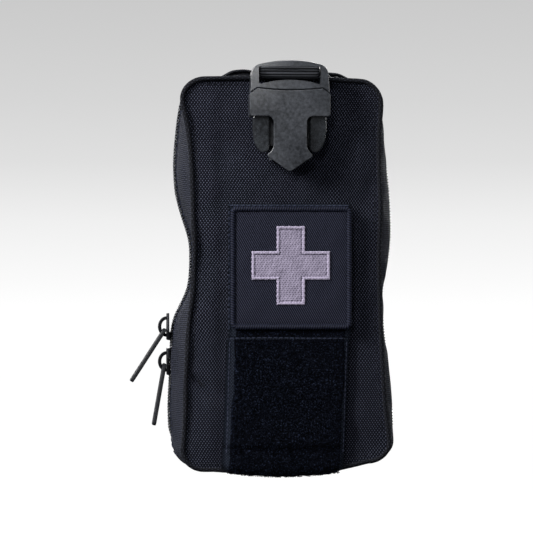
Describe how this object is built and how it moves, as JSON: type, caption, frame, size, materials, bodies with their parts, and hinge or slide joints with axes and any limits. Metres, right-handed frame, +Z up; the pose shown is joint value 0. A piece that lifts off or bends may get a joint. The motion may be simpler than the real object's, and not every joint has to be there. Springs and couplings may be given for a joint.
{
  "type": "first-aid tourniquet pouch",
  "caption": "Zipped clamshell pouch with a side-release buckle, a pull-off cross patch, a loop-faced front strap, a grab handle and snap straps on its back, holding a windlass tourniquet.",
  "frame": {"origin": "centre of the base, on the hinge line between the front and rear shells", "axes": "+Z up along the pouch's height, -Y out of the front face, +X to the viewer's right when looking at the front"},
  "size_m": [0.1131, 0.082, 0.176],
  "materials": {
    "shell_fabric": "black oxford weave",
    "binding": "folded binding tape",
    "zipper_tape": "woven tape",
    "zipper_coil": "nylon coil",
    "slider_metal": "black enamel",
    "pull_rubber": "moulded, satin",
    "buckle_acetal": "acetal, satin",
    "webbing": "ribbed polyester webbing",
    "loop_pile": "brushed loop",
    "hook_tape": "moulded hook",
    "patch_twill": "twill",
    "patch_thread": "overlock thread",
    "cross_thread": "embroidery thread, grey violet",
    "snap_metal": "black oxide",
    "stiffener": "lined board",
    "elastic": "knitted elastic",
    "tourniquet_webbing": "brushed webbing",
    "tourniquet_plastic": "moulded",
    "windlass": "dark anodised"
  },
  "bodies": {
    "rear_shell": {"back_panel": "shell_fabric", "rear_piping": "binding", "rear_gusset": "shell_fabric", "rear_zipper_tape": "zipper_tape", "rear_zipper_coil": "zipper_coil", "base_strap_rear": "loop_pile", "pals_rows": "webbing", "molle_strap_anchors": "webbing", "snap_stud_left": "snap_metal", "snap_stud_right": "snap_metal", "grab_handle": "webbing", "back_board": "stiffener", "elastic_loops": "elastic", "tourniquet_band": "tourniquet_webbing", "tourniquet_base_plate": "tourniquet_plastic", "windlass_rod": "windlass", "windlass_clip": "tourniquet_plastic", "tourniquet_buckle": "tourniquet_plastic"},
    "front_shell": {"front_panel": "shell_fabric", "front_piping": "binding", "front_gusset": "shell_fabric", "front_zipper_tape": "zipper_tape", "front_zipper_coil": "zipper_coil", "loop_field": "loop_pile", "base_strap_front": "loop_pile", "buckle_socket": "buckle_acetal", "socket_tab": "webbing", "top_strap": "webbing", "inner_pocket": "shell_fabric"},
    "buckle_plug": {"plug_frame": "buckle_acetal"},
    "prong_left": {"prong_left": "buckle_acetal"},
    "prong_right": {"prong_right": "buckle_acetal"},
    "upper_slider": {"upper_slider_body": "slider_metal", "upper_slider_bail": "slider_metal"},
    "upper_pull": {"upper_pull": "pull_rubber"},
    "lower_slider": {"lower_slider_body": "slider_metal", "lower_slider_bail": "slider_metal"},
    "lower_pull": {"lower_pull": "pull_rubber"},
    "patch": {"patch_hook_backing": "hook_tape", "patch_twill": "patch_twill", "patch_merrowed_edge": "patch_thread", "patch_cross": "cross_thread"},
    "molle_strap_left": {"molle_strap_left": "webbing", "snap_cap_left": "snap_metal"},
    "molle_strap_right": {"molle_strap_right": "webbing", "snap_cap_right": "snap_metal"}
  },
  "joints": [
    {"name": "clamshell_hinge", "type": "hinge", "parent": "rear_shell", "child": "front_shell", "pos_m": [0, 0, 0], "axis": [1, 0, 0], "range_deg": [0, 110]},
    {"name": "buckle_release", "type": "slide", "parent": "front_shell", "child": "buckle_plug", "axis": [0, 0, 1], "range_m": [0, 0.028], "deforming": ["top_strap"]},
    {"name": "prong_left_squeeze", "type": "hinge", "parent": "buckle_plug", "child": "prong_left", "pos_m": [-0.0114, -0.039, 0.1615], "axis": [0, -1, 0], "range_deg": [0, 3.5], "stiffness_Nm_per_rad": 0.25},
    {"name": "prong_right_squeeze", "type": "hinge", "parent": "buckle_plug", "child": "prong_right", "pos_m": [0.0114, -0.039, 0.1615], "axis": [0, 1, 0], "range_deg": [0, 3.5], "stiffness_Nm_per_rad": 0.25},
    {"name": "upper_slider_run", "type": "slide", "parent": "rear_shell", "child": "upper_slider", "axis": [0, 0, 1], "range_m": [0, 0.085]},
    {"name": "lower_slider_run", "type": "slide", "parent": "rear_shell", "child": "lower_slider", "axis": [0, 0, -1], "range_m": [0, 0.02]},
    {"name": "upper_pull_swing", "type": "hinge", "parent": "upper_slider", "child": "upper_pull", "pos_m": [-0.0503, 0, 0.0614], "axis": [0, 1, 0], "range_deg": [-8, 95]},
    {"name": "lower_pull_swing", "type": "hinge", "parent": "lower_slider", "child": "lower_pull", "pos_m": [-0.0503, 0, 0.0464], "axis": [0, 1, 0], "range_deg": [-8, 30]},
    {"name": "patch_peel", "type": "slide", "parent": "front_shell", "child": "patch", "axis": [0, -1, 0], "range_m": [0, 0.03]},
    {"name": "molle_left_unsnap", "type": "hinge", "parent": "rear_shell", "child": "molle_strap_left", "pos_m": [-0.01905, 0.03535, 0.1556], "axis": [1, 0, 0], "range_deg": [0, 110]},
    {"name": "molle_right_unsnap", "type": "hinge", "parent": "rear_shell", "child": "molle_strap_right", "pos_m": [0.01905, 0.03535, 0.1556], "axis": [1, 0, 0], "range_deg": [0, 110]}
  ]
}
